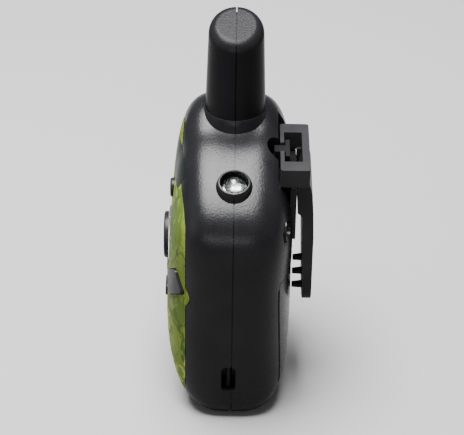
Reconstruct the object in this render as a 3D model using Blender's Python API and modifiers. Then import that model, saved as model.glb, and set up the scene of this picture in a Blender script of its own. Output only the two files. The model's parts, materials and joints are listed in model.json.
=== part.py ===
"""Compact handheld two-way radio with a stub antenna, a shoulder torch and a belt clip.

World frame: +Z up, front of the radio towards -Y, torch side towards +X, metres.
Every part hangs on the empty seam_datum, whose local XZ plane is the joint
between the front and the rear case half; local z = -2.9 mm is the foot of the case.
"""
import math

import bmesh
import bpy
from mathutils import Matrix, Vector

MM = 0.001

# ---------------------------------------------------------------- dimensions
SEAM_Y = -1.32 * MM            # seam plane in the world, so the origin is mid-depth
WALL = 1.8 * MM               # case wall
GAP = 0.3 * MM                # gap between pieces that touch
CENTRE_Z = 36.0 * MM          # centre that the case sections shrink towards
AROUND = 52                   # facets round the case
RINGS = 7                     # rings from the seam to a face

FOOT_Z = -2.9 * MM            # foot plane below the datum, so the world foot is z = 0

# front-view outline of the case at the seam, (x, z) in mm, clockwise from the foot
OUTLINE = [(0, -3.5), (14, -3.5), (22.9, -3.2), (27.4, -1.0), (28.85, 3.9), (29.2, 14.5), (29.1, 28),
           (28.6, 42), (27.9, 53), (26.4, 58.4), (23.6, 62.3), (19.5, 65.6), (14, 68.9),
           (8, 71.6), (2, 73.7), (-4.3, 75.3), (-12.5, 78.9), (-20.5, 78.2), (-26.2, 74.4),
           (-28.4, 66.3), (-28.6, 54), (-28.8, 42), (-29.1, 28), (-29.2, 14.5), (-28.85, 3.9),
           (-27.4, -1.0), (-22.9, -3.2), (-14, -3.5)]
DEPTH_FRONT = (18.0, 19.2, 18.1, 17.4)   # half depth at z = 0, 25, 50, 75 mm
DEPTH_REAR = (17.9, 16.85, 17.0, 16.6)
N_SIDE, N_FOOT, N_TOP = 2.86, 3.35, 4.55 # squareness of the rounding by direction

PLATE_Y = -13.1 * MM          # front case stops here, the faceplate goes on
FRONT_WALL = 1.4 * MM

ANT_X = -12.5 * MM
ANT_R0, ANT_R1 = 8.6 * MM, 7.75 * MM      # radius at the collar and near the tip
ANT_Z0, ANT_Z1 = 79.0 * MM, 104.5 * MM   # collar line, slanted tip on the axis
ANT_SLANT = math.radians(20.0)
ANT_EDGE = 2.6 * MM

TORCH = Vector((15.0, 0, 70.0)) * MM     # centre of the rim
TORCH_DIR = Vector((math.sin(math.radians(16.6)), 0, math.cos(math.radians(16.6))))
TORCH_RIM_R, TORCH_HOLE_R, TORCH_BASE_R = 4.42 * MM, 3.9 * MM, 5.9 * MM

PTT_X, PTT_Z, PTT_R = 0.0, 42.2 * MM, 6.8 * MM
PTT_FACE_Y = -20.1 * MM
RING_R = 8.2 * MM
KEY_TRAVEL = 1.0 * MM
WING = [(20.6, 44.4), (24.2, 38.4), (15.6, 32.2), (11.6, 37.9)]   # wing key corners, mm
NAV_X, NAV_Z = 6.2 * MM, 28.6 * MM

WINDOW = (-13.0 * MM, 9.0 * MM, 62.9 * MM, 69.6 * MM)   # x low, x high, z low, z high
MENU_Z, MENU_R = 58.4 * MM, 2.8 * MM
SPEAKER_Z, SPEAKER_R = 15.0 * MM, 10.0 * MM

DOOR_X, DOOR_Y, DOOR_Z = 22.4 * MM, 11.5 * MM, 41.0 * MM
CELL_R, CELL_L = 5.25 * MM, 44.5 * MM
CELL_Y = 6.9 * MM
CELL_Z = [12.0 * MM, 22.8 * MM, 33.6 * MM]

CLIP_TOP, CLIP_LOW = 72.5 * MM, 67.0 * MM     # channel block
CLIP_HALF, CLIP_OPEN = 12.7 * MM, 7.9 * MM    # half width outside and inside
CLIP_Y0, CLIP_Y1 = 12.8 * MM, 21.1 * MM
ARM_Y1 = 22.75 * MM
ARM_END = 23.0 * MM
POCKET_Z = 66.6 * MM

STRAP_Z = (7.7 * MM, 16.2 * MM)
STRAP_Y = (-2.9 * MM, 1.2 * MM)

# ---------------------------------------------------------------- clean start
for o in list(bpy.data.objects):
    bpy.data.objects.remove(o, do_unlink=True)
for c in list(bpy.data.collections):
    bpy.data.collections.remove(c)
PARTS = bpy.data.collections.new("handheld_two_way_radio")
CUTTERS = bpy.data.collections.new("cutters")
bpy.context.scene.collection.children.link(PARTS)
bpy.context.scene.collection.children.link(CUTTERS)
DATUM = bpy.data.objects.new("seam_datum", None)
DATUM.location = (0, SEAM_Y, -FOOT_Z)
PARTS.objects.link(DATUM)


def material(name, rgb, rough, metal=0.0, transmission=0.0):
    m = bpy.data.materials.new(name)
    m.use_nodes = True
    b = m.node_tree.nodes["Principled BSDF"]
    b.inputs["Base Color"].default_value = (*rgb, 1)
    b.inputs["Roughness"].default_value = rough
    b.inputs["Metallic"].default_value = metal
    b.inputs["Transmission Weight"].default_value = transmission
    m.diffuse_color = (*rgb, 1)
    return m


BLACK = material("black_abs", (0.012, 0.012, 0.013), 0.5)
CAMO = material("woodland_print", (0.16, 0.21, 0.06), 0.4)
CLEAR = material("clear_lens", (0.9, 0.92, 0.93), 0.05, 0, 0.9)
CHROME = material("chrome", (0.8, 0.8, 0.82), 0.12, 1.0)
RUBBER = material("silicone", (0.10, 0.10, 0.11), 0.8)
GREEN = material("board", (0.02, 0.16, 0.06), 0.45)
STEEL = material("steel", (0.55, 0.55, 0.56), 0.3, 1.0)
COPPER = material("copper", (0.72, 0.35, 0.18), 0.3, 1.0)
WRAP = material("cell_wrap", (0.05, 0.10, 0.22), 0.4)


# ---------------------------------------------------------------- helpers
def place(ob, mat=None, cutter=False):
    ob.parent = DATUM
    if cutter:
        CUTTERS.objects.link(ob)
        ob.hide_render = True
        ob.display_type = "WIRE"
    else:
        PARTS.objects.link(ob)
        if mat:
            ob.data.materials.append(mat)
    return ob


def from_bm(name, bm, mat=None, cutter=False, smooth=True):
    bmesh.ops.recalc_face_normals(bm, faces=bm.faces)
    me = bpy.data.meshes.new(name)
    bm.to_mesh(me)
    bm.free()
    if smooth:
        me.shade_smooth()
        me.set_sharp_from_angle(angle=math.radians(35))
    return place(bpy.data.objects.new(name, me), mat, cutter)


def box(name, lo, hi, mat=None, cutter=False, bevel=0.0):
    bm = bmesh.new()
    bmesh.ops.create_cube(bm, size=1.0)
    lo, hi = Vector(lo), Vector(hi)
    bmesh.ops.scale(bm, vec=hi - lo, verts=bm.verts)
    bmesh.ops.translate(bm, vec=(lo + hi) / 2, verts=bm.verts)
    if bevel:
        bmesh.ops.bevel(bm, geom=bm.edges[:], offset=bevel, segments=1, affect="EDGES")
    return from_bm(name, bm, mat, cutter, smooth=False)


def cyl(name, a, b, r0, r1=None, seg=24, mat=None, cutter=False):
    a, b = Vector(a), Vector(b)
    bm = bmesh.new()
    bmesh.ops.create_cone(bm, cap_ends=True, segments=seg, radius1=r0,
                          radius2=r0 if r1 is None else r1, depth=(b - a).length)
    q = Vector((0, 0, 1)).rotation_difference((b - a).normalized()).to_matrix().to_4x4()
    bmesh.ops.transform(bm, matrix=Matrix.Translation((a + b) / 2) @ q, verts=bm.verts)
    return from_bm(name, bm, mat, cutter)


def flat(name, pts, y0, y1, mat=None, cutter=False):
    """Outline in the XZ plane, extruded from y0 to y1."""
    bm = bmesh.new()
    vs = [bm.verts.new((x, y0, z)) for x, z in pts]
    f = bm.faces.new(vs)
    got = bmesh.ops.extrude_face_region(bm, geom=[f])
    bmesh.ops.translate(bm, vec=(0, y1 - y0, 0),
                        verts=[g for g in got["geom"] if isinstance(g, bmesh.types.BMVert)])
    return from_bm(name, bm, mat, cutter)


def rounded(pts, r, seg=4):
    """Polygon with each corner replaced by an arc of radius r."""
    out, n = [], len(pts)
    for i in range(n):
        p, a, b = (Vector(pts[i]), Vector(pts[i - 1]), Vector(pts[(i + 1) % n]))
        u, w = (a - p).normalized(), (b - p).normalized()
        half = u.angle(w) / 2
        c = p + (u + w).normalized() * r / math.sin(half)
        s, e = p + u * r / math.tan(half) - c, p + w * r / math.tan(half) - c
        sweep = s.angle_signed(e)
        for k in range(seg + 1):
            out.append(tuple(c + Matrix.Rotation(-sweep * k / seg, 2) @ s))
    return out


def cut(ob, tool, op="DIFFERENCE"):
    m = ob.modifiers.new(op.lower(), "BOOLEAN")
    m.operation = op
    m.object = tool
    m.solver = "EXACT"


def lagrange(vals, z):
    zs = (0.0, 25.0, 50.0, 75.0)
    out = 0.0
    for i, zi in enumerate(zs):
        t = vals[i]
        for j, zj in enumerate(zs):
            if j != i:
                t *= (z - zj) / (zi - zj)
        out += t
    return out


def spline(pts, per=10):
    """Closed Catmull-Rom curve through the points."""
    out, n = [], len(pts)
    for i in range(n):
        p0, p1, p2, p3 = (Vector(pts[(i + k) % n]) for k in (-1, 0, 1, 2))
        for k in range(per):
            t = k / per
            out.append(0.5 * ((2 * p1) + (p2 - p0) * t + (2 * p0 - 5 * p1 + 4 * p2 - p3) * t * t
                              + (3 * p1 - p0 - 3 * p2 + p3) * t ** 3))
    return out


DENSE = spline(OUTLINE)


def rim(direction):
    """Distance from the centre to the case outline along a direction, mm."""
    c = Vector((0, CENTRE_Z / MM))
    best = None
    for i in range(len(DENSE)):
        a, b = DENSE[i] - c, DENSE[(i + 1) % len(DENSE)] - c
        den = direction.x * (b - a).y - direction.y * (b - a).x
        if abs(den) < 1e-12:
            continue
        s = (a.y * direction.x - a.x * direction.y) / (a.y * direction.x - a.x * direction.y
                                                       - (b.y * direction.x - b.x * direction.y))
        if 0 <= s <= 1:
            p = a + (b - a) * s
            if p.dot(direction) > 0:
                best = max(best or 0, p.length)
    return best


def angles():
    """Directions spread evenly along the outline rather than by angle."""
    c = Vector((0, CENTRE_Z / MM))
    run, acc = [0.0], 0.0
    for i in range(len(DENSE)):
        acc += (DENSE[(i + 1) % len(DENSE)] - DENSE[i]).length
        run.append(acc)
    out, j = [], 0
    for k in range(AROUND):
        s = acc * k / AROUND
        while run[j + 1] < s:
            j += 1
        f = (s - run[j]) / (run[j + 1] - run[j])
        p = DENSE[j].lerp(DENSE[(j + 1) % len(DENSE)], f) - c
        out.append(p.normalized())
    return out


DIRS = angles()
RIMS = [rim(d) for d in DIRS]


def case_form(name, inset=0.0, cutter=True, mat=None):
    """Closed pillow form of the case: sections shrink from the seam outline to each face."""
    bm = bmesh.new()
    rows = []
    for side in (-1, 1):
        table = DEPTH_FRONT if side < 0 else DEPTH_REAR
        for k in range(RINGS):
            if side > 0 and k == 0:
                continue
            t = (math.pi / 2) * (k / RINGS) ** 0.9
            row = []
            for d, r in zip(DIRS, RIMS):
                n = N_SIDE * d.x ** 2 + (N_TOP if d.y > 0 else N_FOOT) * d.y ** 2
                xi = math.cos(t) ** (2 / n)
                h = math.sin(t) ** (2 / n)
                rr = (r - inset / MM) * xi
                x, z = d.x * rr, CENTRE_Z / MM + d.y * rr
                y = side * (lagrange(table, z) - inset / MM) * h
                row.append(bm.verts.new((x * MM, y * MM, z * MM)))
            rows.append((side * k, row))
        pole = side * (lagrange(table, CENTRE_Z / MM) - inset / MM)
        rows.append((side * RINGS, [bm.verts.new((0, pole * MM, CENTRE_Z))]))
    rows.sort(key=lambda e: e[0])
    rows = [r for _, r in rows]
    for a, b in zip(rows, rows[1:]):
        for i in range(AROUND):
            j = (i + 1) % AROUND
            if len(a) == 1:
                bm.faces.new((a[0], b[i], b[j]))
            elif len(b) == 1:
                bm.faces.new((a[i], a[j], b[0]))
            else:
                bm.faces.new((a[i], a[j], b[j], b[i]))
    return from_bm(name, bm, mat, cutter)


def antenna_form(name, inset, z_low, mat=None, cutter=True, seg=28):
    """Tapered stub with a slanted, rounded-over tip."""
    slope = (ANT_R1 - ANT_R0) / (ANT_Z1 - ANT_Z0)
    z_hi = ANT_Z1 + 8 * MM
    bm = bmesh.new()
    bmesh.ops.create_cone(bm, cap_ends=True, segments=seg,
                          radius1=ANT_R0 - inset + slope * (z_low - ANT_Z0),
                          radius2=ANT_R0 - inset + slope * (z_hi - ANT_Z0), depth=z_hi - z_low)
    bmesh.ops.translate(bm, vec=(ANT_X, 0, (z_low + z_hi) / 2), verts=bm.verts)
    no = Vector((math.sin(ANT_SLANT), 0, math.cos(ANT_SLANT)))
    co = Vector((ANT_X, 0, ANT_Z1 - inset))
    got = bmesh.ops.bisect_plane(bm, geom=bm.verts[:] + bm.edges[:] + bm.faces[:], dist=1e-7,
                                 plane_co=co, plane_no=no, clear_outer=True)
    ring = [e for e in got["geom_cut"] if isinstance(e, bmesh.types.BMEdge)]
    bmesh.ops.contextual_create(bm, geom=ring)
    edge = [e for e in bm.edges if all(abs((v.co - co).dot(no)) < 1e-6 for v in e.verts)
            and len(e.link_faces) == 2]
    bmesh.ops.bevel(bm, geom=edge, offset=ANT_EDGE - inset * 0.4, segments=3, profile=0.5, affect="EDGES")
    return from_bm(name, bm, mat, cutter)


# ---------------------------------------------------------------- cutters
half_front = box("cut_front_half", (-0.05, -0.15 * MM, -0.02), (0.05, 0.05, 0.13), cutter=True)
half_rear = box("cut_rear_half", (-0.05, -0.05, -0.02), (0.05, 0.15 * MM, 0.13), cutter=True)
rough_front = box("trim_rough_front", (-0.06, 3.1 * MM, -0.03), (0.06, 0.06, 0.14), cutter=True)
rough_rear = box("trim_rough_rear", (-0.06, -0.06, -0.03), (0.06, -6.1 * MM, 0.14), cutter=True)
shape_case = case_form("form_case")
hollow = case_form("form_hollow", WALL)
hollow_front = case_form("form_hollow_front", WALL)
cut(hollow_front, box("trim_front_wall", (-0.05, -0.05, -0.02), (0.05, PLATE_Y + FRONT_WALL, 0.13),
                      cutter=True))
shape_ant = antenna_form("form_antenna", 0.0, ANT_Z0 + GAP)
shape_neck = cyl("form_neck", (ANT_X, 0, 66 * MM), (ANT_X, 0, ANT_Z0 + 0.6 * MM),
                 ANT_R0 + 0.35 * MM, ANT_R0 - 0.05 * MM, 28, cutter=True)
hollow_ant = antenna_form("form_antenna_hollow", WALL, 64 * MM, seg=20)
collar = cyl("form_collar", TORCH - TORCH_DIR * 6.4 * MM, TORCH, TORCH_BASE_R + 0.5 * MM, TORCH_RIM_R,
             28, cutter=True)
torch_bore = cyl("bore_torch", TORCH - TORCH_DIR * 9 * MM, TORCH + TORCH_DIR * 4 * MM,
                 TORCH_HOLE_R, None, 24, cutter=True)
strap_hole = box("cut_strap", (24.6 * MM, STRAP_Y[0], STRAP_Z[0]), (34 * MM, STRAP_Y[1], STRAP_Z[1]),
                 cutter=True)
strap_box = box("form_strap_pocket", (23.2 * MM, STRAP_Y[0] - 1.2 * MM, STRAP_Z[0] - 1.2 * MM),
                (28.2 * MM, STRAP_Y[1] + 1.2 * MM, STRAP_Z[1] + 1.2 * MM), cutter=True)
strap_clear = box("cut_strap_mouth", (24.6 * MM, STRAP_Y[0], STRAP_Z[0]),
                  (34 * MM, STRAP_Y[1], STRAP_Z[1]), cutter=True)

ptt_hole = cyl("cut_ptt", (PTT_X, -0.03, PTT_Z), (PTT_X, -0.005, PTT_Z), PTT_R + GAP, None, 28, cutter=True)
ptt_stem_hole = cyl("cut_ptt_stem", (PTT_X, -0.03, PTT_Z), (PTT_X, -0.009, PTT_Z), 3.0 * MM, None, 16,
                    cutter=True)
ring_seat = cyl("cut_ring", (PTT_X, -0.03, PTT_Z), (PTT_X, -17.0 * MM, PTT_Z), RING_R + GAP, None, 32,
                cutter=True)


def wing_points(sign, grow=0.0):
    pts = [(sign * x * MM, z * MM) for x, z in WING]
    if sign < 0:
        pts.reverse()
    c = sum((Vector(p) for p in pts), Vector((0, 0))) / 4
    pts = [tuple(Vector(p) + (Vector(p) - c).normalized() * grow) for p in pts]
    return rounded(pts, 1.3 * MM, 3)


wing_hole_r = flat("cut_wing_r", wing_points(1, GAP * 1.6), -0.03, -0.009, cutter=True)
wing_hole_l = flat("cut_wing_l", wing_points(-1, GAP * 1.6), -0.03, -0.009, cutter=True)


def nav_points(x, grow=0.0):
    hw, hh = 3.6 * MM + grow, 1.9 * MM + grow
    return rounded([(x - hw, NAV_Z - hh), (x - hw, NAV_Z + hh), (x + hw, NAV_Z + hh), (x + hw, NAV_Z - hh)],
                   1.7 * MM, 4)


nav_hole_r = flat("cut_nav_r", nav_points(NAV_X, GAP), -0.03, -0.009, cutter=True)
nav_hole_l = flat("cut_nav_l", nav_points(-NAV_X, GAP), -0.03, -0.009, cutter=True)


def window_points(grow=0.0):
    x0, x1, z0, z1 = WINDOW[0] - grow, WINDOW[1] + grow, WINDOW[2] - grow, WINDOW[3] + grow
    return rounded([(x0, z0), (x0, z1), (x1, z1), (x1, z0)], 2.2 * MM, 4)


window_hole = flat("cut_window", window_points(GAP), -0.03, -0.013, cutter=True)
lcd_hole = box("cut_lcd", (-10.4 * MM, -0.03, 61.6 * MM), (6.4 * MM, -0.009, 67.6 * MM), cutter=True)
menu_hole = cyl("cut_menu", (0, -0.03, MENU_Z), (0, -0.009, MENU_Z), MENU_R + GAP, None, 20, cutter=True)
slots = [box(f"cut_grille_{i}", (-hw * MM, -0.03, (SPEAKER_Z + dz * MM)),
             (hw * MM, -0.009, (SPEAKER_Z + (dz + 1.3) * MM)), cutter=True)
         for i, (dz, hw) in enumerate(((-7.0, 5.0), (-4.0, 7.6), (-1.0, 8.4), (2.0, 7.6), (5.0, 5.0)))]
mic_hole = cyl("cut_mic", (12.5 * MM, -0.03, 26.2 * MM), (12.5 * MM, -0.009, 26.2 * MM), 0.8 * MM, None, 10,
               cutter=True)

SCREW_TOP = [(-17.2 * MM, 56.1 * MM), (17.2 * MM, 56.1 * MM)]
SCREW_LOW = [(-16.0 * MM, 17.4 * MM), (16.0 * MM, 17.4 * MM)]
SCREWS = [("case_screw_upper_left", SCREW_TOP[0], 11.6 * MM), ("case_screw_upper_right", SCREW_TOP[1], 11.6 * MM),
          ("case_screw_lower_left", SCREW_LOW[0], 1.7 * MM), ("case_screw_lower_right", SCREW_LOW[1], 1.7 * MM)]

foot = box("trim_foot", (-0.05, -0.05, -0.02), (0.05, 0.05, FOOT_Z), cutter=True)

# ---------------------------------------------------------------- front case
front = case_form("front_case", cutter=False, mat=BLACK)
cut(front, shape_neck, "UNION")
cut(front, shape_ant, "UNION")
cut(front, collar, "UNION")
cut(front, box("trim_face", (-0.05, -0.05, -0.02), (0.05, PLATE_Y, 0.13), cutter=True))
cut(front, hollow_front)
cut(front, rough_front)
cut(front, hollow_ant)
cut(front, strap_box, "UNION")
cut(front, strap_clear)
cut(front, torch_bore)
for i, (nm, (x, z), hy) in enumerate(SCREWS):
    cut(front, cyl(f"form_post_{i}", (x, PLATE_Y + 0.6 * MM, z), (x, -0.8 * MM, z), 2.6 * MM, None, 12,
                   cutter=True), "UNION")
    cut(front, cyl(f"bore_post_{i}", (x, -10.0 * MM, z), (x, 2 * MM, z), 1.3 * MM, None, 10, cutter=True))
cut(front, half_front)
cut(front, foot)
for tool in (ptt_stem_hole, wing_hole_r, wing_hole_l, nav_hole_r, nav_hole_l, menu_hole, lcd_hole, *slots, mic_hole):
    cut(front, tool)

# ---------------------------------------------------------------- rear case
rear = case_form("rear_case", cutter=False, mat=BLACK)
cut(rear, shape_neck, "UNION")
cut(rear, shape_ant, "UNION")
cut(rear, collar, "UNION")
cut(rear, hollow)
cut(rear, rough_rear)
cut(rear, hollow_ant)
# clip pocket at the top of the back, a floor under it and the T-shaped clip rail
pocket = box("form_pocket", (-14.4 * MM, 10.9 * MM, POCKET_Z - 1.2 * MM), (14.4 * MM, 17.6 * MM, 71.5 * MM),
             cutter=True)
cut(pocket, shape_case, "INTERSECT")
cut(rear, pocket, "UNION")
cut(rear, box("cut_pocket", (-13.1 * MM, 12.3 * MM, POCKET_Z), (13.1 * MM, 0.03, 0.09), cutter=True))
cut(rear, cyl("cut_half_moon", (0.3 * MM, 13.3 * MM, 68.4 * MM), (0.3 * MM, 13.3 * MM, 0.085), 4.2 * MM, None, 16,
              cutter=True))
cut(rear, box("form_rail_stem", (-1.7 * MM, 11.2 * MM, 65.6 * MM), (1.7 * MM, 14.6 * MM, 71.9 * MM),
              cutter=True), "UNION")
cut(rear, box("form_rail_head", (-4.4 * MM, 14.3 * MM, 65.6 * MM), (4.4 * MM, 15.5 * MM, 72.1 * MM),
              cutter=True), "UNION")
cut(rear, flat("form_boss", rounded([(-10.6 * MM, 47.6 * MM), (-10.6 * MM, 66.2 * MM), (10.6 * MM, 66.2 * MM),
                                     (10.6 * MM, 47.6 * MM)], 1.5 * MM, 2), 15.8 * MM, 17.55 * MM, cutter=True),
    "UNION")
# battery bay
bay_x, bay_lo, bay_hi = 23.25 * MM, 6.5 * MM, 39.1 * MM
cut(rear, box("form_bay", (-bay_x - 1.3 * MM, 0.3 * MM, bay_lo - 1.3 * MM),
              (bay_x + 1.3 * MM, 8.4 * MM, bay_hi + 1.3 * MM), cutter=True), "UNION")
cut(rear, box("cut_bay", (-bay_x, 1.4 * MM, bay_lo), (bay_x, 0.03, bay_hi), cutter=True))
cut(rear, box("cut_door", (-DOOR_X - GAP, DOOR_Y - GAP, -0.01), (DOOR_X + GAP, 0.04, DOOR_Z + GAP),
              cutter=True))
cut(rear, box("form_strap_pocket_rear", (23.2 * MM, -1.0 * MM, STRAP_Z[0] - 1.2 * MM),
              (28.2 * MM, STRAP_Y[1] + 1.2 * MM, STRAP_Z[1] + 1.2 * MM), cutter=True), "UNION")
cut(rear, strap_clear)
cut(rear, torch_bore)
for i, (nm, (x, z), hy) in enumerate(SCREWS[:2]):
    cut(rear, cyl(f"form_sleeve_{i}", (x, 0.6 * MM, z), (x, 14.7 * MM, z), 2.85 * MM, None, 14, cutter=True),
        "UNION")
    cut(rear, cyl(f"cut_head_{i}", (x, 11.6 * MM - 0.3 * MM, z), (x, 0.03, z), 2.3 * MM, None, 12, cutter=True))
for i, (nm, (x, z), hy) in enumerate(SCREWS):
    cut(rear, cyl(f"bore_sleeve_{i}", (x, -1 * MM, z), (x, hy + 1 * MM, z), 1.3 * MM, None, 10, cutter=True))
cut(rear, half_rear)
cut(rear, foot)
cut(rear, box("cut_side_slot", (20.0 * MM, 13.55 * MM, 53.1 * MM), (21.5 * MM, 18 * MM, 57.35 * MM), cutter=True))

# ---------------------------------------------------------------- faceplate and what sits in it
plate = case_form("camo_faceplate", cutter=False, mat=CAMO)
cut(plate, box("trim_plate", (-0.05, PLATE_Y - GAP, -0.02), (0.05, 0.05, 0.13), cutter=True))
cut(plate, case_form("form_plate_hollow", 1.5 * MM))
for tool in (ring_seat, wing_hole_r, wing_hole_l, nav_hole_r, nav_hole_l, menu_hole, window_hole, *slots, mic_hole):
    cut(plate, tool)
# a seat under the ring, joined to the skin
cut(plate, cyl("form_ring_seat", (PTT_X, -17.1 * MM, PTT_Z), (PTT_X, -16.0 * MM, PTT_Z), RING_R + 1.2 * MM, None,
               32, cutter=True), "UNION")
cut(plate, ptt_hole)

ring = cyl("chrome_ring", (PTT_X, -18.6 * MM, PTT_Z), (PTT_X, -17.4 * MM, PTT_Z), RING_R, None, 36, CHROME)
cut(ring, ptt_hole)

window = case_form("display_window", inset=-0.12 * MM, cutter=False, mat=CLEAR)
cut(window, flat("keep_window", window_points(0.0), -0.03, -13.5 * MM, cutter=True), "INTERSECT")

ptt = cyl("ptt_key", (PTT_X, PTT_FACE_Y, PTT_Z), (PTT_X, -15.4 * MM, PTT_Z), PTT_R, None, 32, BLACK)
mod = ptt.modifiers.new("edge", "BEVEL")
mod.width, mod.segments, mod.limit_method = 0.8 * MM, 2, "ANGLE"
cut(ptt, cyl("form_ptt_stem", (PTT_X, -15.8 * MM, PTT_Z), (PTT_X, -11.4 * MM, PTT_Z), 2.4 * MM, None, 12,
             cutter=True), "UNION")

for nm, sign in (("right_wing_key", 1), ("left_wing_key", -1)):
    key = case_form(nm, inset=-0.6 * MM, cutter=False, mat=BLACK)
    cut(key, flat(f"keep_{nm}", wing_points(sign), -0.03, -11.4 * MM, cutter=True), "INTERSECT")
for nm, x in (("up_key", NAV_X), ("down_key", -NAV_X)):
    key = flat(nm, nav_points(x), -19.45 * MM, -11.4 * MM, BLACK)
    mod = key.modifiers.new("edge", "BEVEL")
    mod.width, mod.segments, mod.limit_method = 0.4 * MM, 1, "ANGLE"
    mod.angle_limit = math.radians(60)

# ---------------------------------------------------------------- electronics
box("keypad_membrane", (-24.0 * MM, -10.1 * MM, 26.3 * MM), (24.0 * MM, -9.2 * MM, 50.6 * MM), RUBBER)
menu = cyl("menu_key", (0, -18.3 * MM, MENU_Z), (0, -11.4 * MM, MENU_Z), MENU_R, None, 20, BLACK)
box("display_module", (-10.0 * MM, -12.9 * MM, 62.0 * MM), (6.0 * MM, -10.2 * MM, 67.2 * MM), STEEL)
board = box("circuit_board", (-22.0 * MM, -5.2 * MM, 7.6 * MM), (21.8 * MM, -3.6 * MM, 58.5 * MM), GREEN)
for i, (nm, (x, z), hy) in enumerate(SCREWS):
    cut(board, cyl(f"cut_board_{i}", (x, -7 * MM, z), (x, 0, z), 3.0 * MM, None, 12, cutter=True))
box("rf_shield", (-14.0 * MM, -3.3 * MM, 41.0 * MM), (8.0 * MM, -0.9 * MM, 55.0 * MM), STEEL, bevel=0.4 * MM)
cyl("speaker", (0, -11.2 * MM, SPEAKER_Z), (0, -7.4 * MM, SPEAKER_Z), SPEAKER_R, 7.0 * MM, 24, STEEL)
cyl("microphone", (12.5 * MM, -8.8 * MM, 23.2 * MM), (12.5 * MM, -6.4 * MM, 23.2 * MM), 2.0 * MM, None, 14, STEEL)


def coil(name, centre, axis, radii, turns, pitch, wire, per, mat):
    """Open helix of round wire; radii gives the radius at each end."""
    n = int(turns * per) + 1
    ax = Vector(axis).normalized()
    u = ax.orthogonal().normalized()
    w = ax.cross(u)
    cu = bpy.data.curves.new(name, "CURVE")
    cu.dimensions = "3D"
    sp_ = cu.splines.new("POLY")
    sp_.points.add(n - 1)
    for i in range(n):
        a = 2 * math.pi * i / per
        r = radii[0] + (radii[1] - radii[0]) * i / (n - 1)
        p = Vector(centre) + ax * (pitch * i / per) + (u * math.cos(a) + w * math.sin(a)) * r
        sp_.points[i].co = (*p, 1)
    cu.bevel_depth = wire
    cu.bevel_resolution = 2
    cu.use_fill_caps = True
    return place(bpy.data.objects.new(name, cu), mat)


coil("antenna_coil", (ANT_X, 0, 79 * MM), (0, 0, 1), (3.6 * MM, 3.6 * MM), 6, 3.3 * MM, 0.4 * MM, 10, COPPER)

# ---------------------------------------------------------------- torch
lens_bm = bmesh.new()
bmesh.ops.create_uvsphere(lens_bm, u_segments=20, v_segments=12, radius=2.8 * MM)
bmesh.ops.translate(lens_bm, vec=TORCH - TORCH_DIR * 1.9 * MM, verts=lens_bm.verts)
lens = from_bm("torch_lens", lens_bm, CLEAR)
cut(lens, cyl("form_lens_flange", TORCH - TORCH_DIR * 3.4 * MM, TORCH - TORCH_DIR * 1.9 * MM, 3.55 * MM, None, 24,
              cutter=True), "UNION")
cut(lens, cyl("cut_lens_back", TORCH - TORCH_DIR * 9 * MM, TORCH - TORCH_DIR * 2.7 * MM, 2.3 * MM, None, 16,
              cutter=True))
led = cyl("torch_lamp", TORCH - TORCH_DIR * 7.4 * MM, TORCH - TORCH_DIR * 3.3 * MM, 1.7 * MM, 1.3 * MM, 14, STEEL)
carrier = cyl("torch_carrier", TORCH - TORCH_DIR * 9.4 * MM, TORCH - TORCH_DIR * 7.7 * MM, 4.6 * MM, None, 20, GREEN)

# ---------------------------------------------------------------- strap post
cyl("strap_pin", (26.0 * MM, -0.85 * MM, STRAP_Z[0] + GAP * 0.7), (26.0 * MM, -0.85 * MM, STRAP_Z[1] - GAP * 0.7),
    0.6 * MM, None, 12, BLACK)

# ---------------------------------------------------------------- battery door and cells
door = case_form("battery_door", cutter=False, mat=BLACK)
cut(door, box("keep_door", (-DOOR_X, DOOR_Y, -0.01), (DOOR_X, 0.04, DOOR_Z), cutter=True), "INTERSECT")
cut(door, case_form("form_door_hollow", 1.25 * MM))
for i, z in enumerate(CELL_Z):
    s = 1 if i % 2 == 0 else -1
    cell = cyl(f"cell_{i + 1}", (-s * 20.9 * MM, CELL_Y, z), (s * 21.3 * MM, CELL_Y, z), CELL_R, None, 20, WRAP)
    cut(cell, cyl(f"form_nub_{i}", (s * 21.0 * MM, CELL_Y, z), (s * 22.4 * MM, CELL_Y, z), 1.9 * MM, None, 12,
                  cutter=True), "UNION")
    box(f"contact_plate_{i + 1}", (s * 23.1 * MM if s < 0 else 22.7 * MM, CELL_Y - 3.6 * MM, z - 3.6 * MM),
        (s * 22.7 * MM if s < 0 else 23.1 * MM, CELL_Y + 2.6 * MM, z + 3.6 * MM), STEEL)
    coil(f"contact_spring_{i + 1}", (-s * 22.85 * MM, CELL_Y, z), (s, 0, 0), (3.2 * MM, 1.7 * MM), 2.5, 0.62 * MM,
         0.22 * MM, 10, STEEL)

# ---------------------------------------------------------------- belt clip
clip = box("belt_clip", (-CLIP_HALF, CLIP_Y0, CLIP_LOW), (CLIP_HALF, CLIP_Y1, CLIP_TOP), BLACK)
cut(clip, box("cut_channel", (-CLIP_OPEN, CLIP_Y0 + 1.15 * MM, 0.06), (CLIP_OPEN, CLIP_Y1 - 2.1 * MM, 0.08),
              cutter=True))
cut(clip, box("cut_mouth", (-2.3 * MM, 0.01, 0.06), (2.3 * MM, CLIP_Y1 - 2.1 * MM, 0.08), cutter=True))


def side(name, pts, x0, x1):
    """Outline in the YZ plane, extruded along X."""
    bm = bmesh.new()
    f = bm.faces.new([bm.verts.new((x0, y * MM, z * MM)) for y, z in pts])
    got = bmesh.ops.extrude_face_region(bm, geom=[f])
    bmesh.ops.translate(bm, vec=(x1 - x0, 0, 0),
                        verts=[g for g in got["geom"] if isinstance(g, bmesh.types.BMVert)])
    return from_bm(name, bm, None, True)


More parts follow.
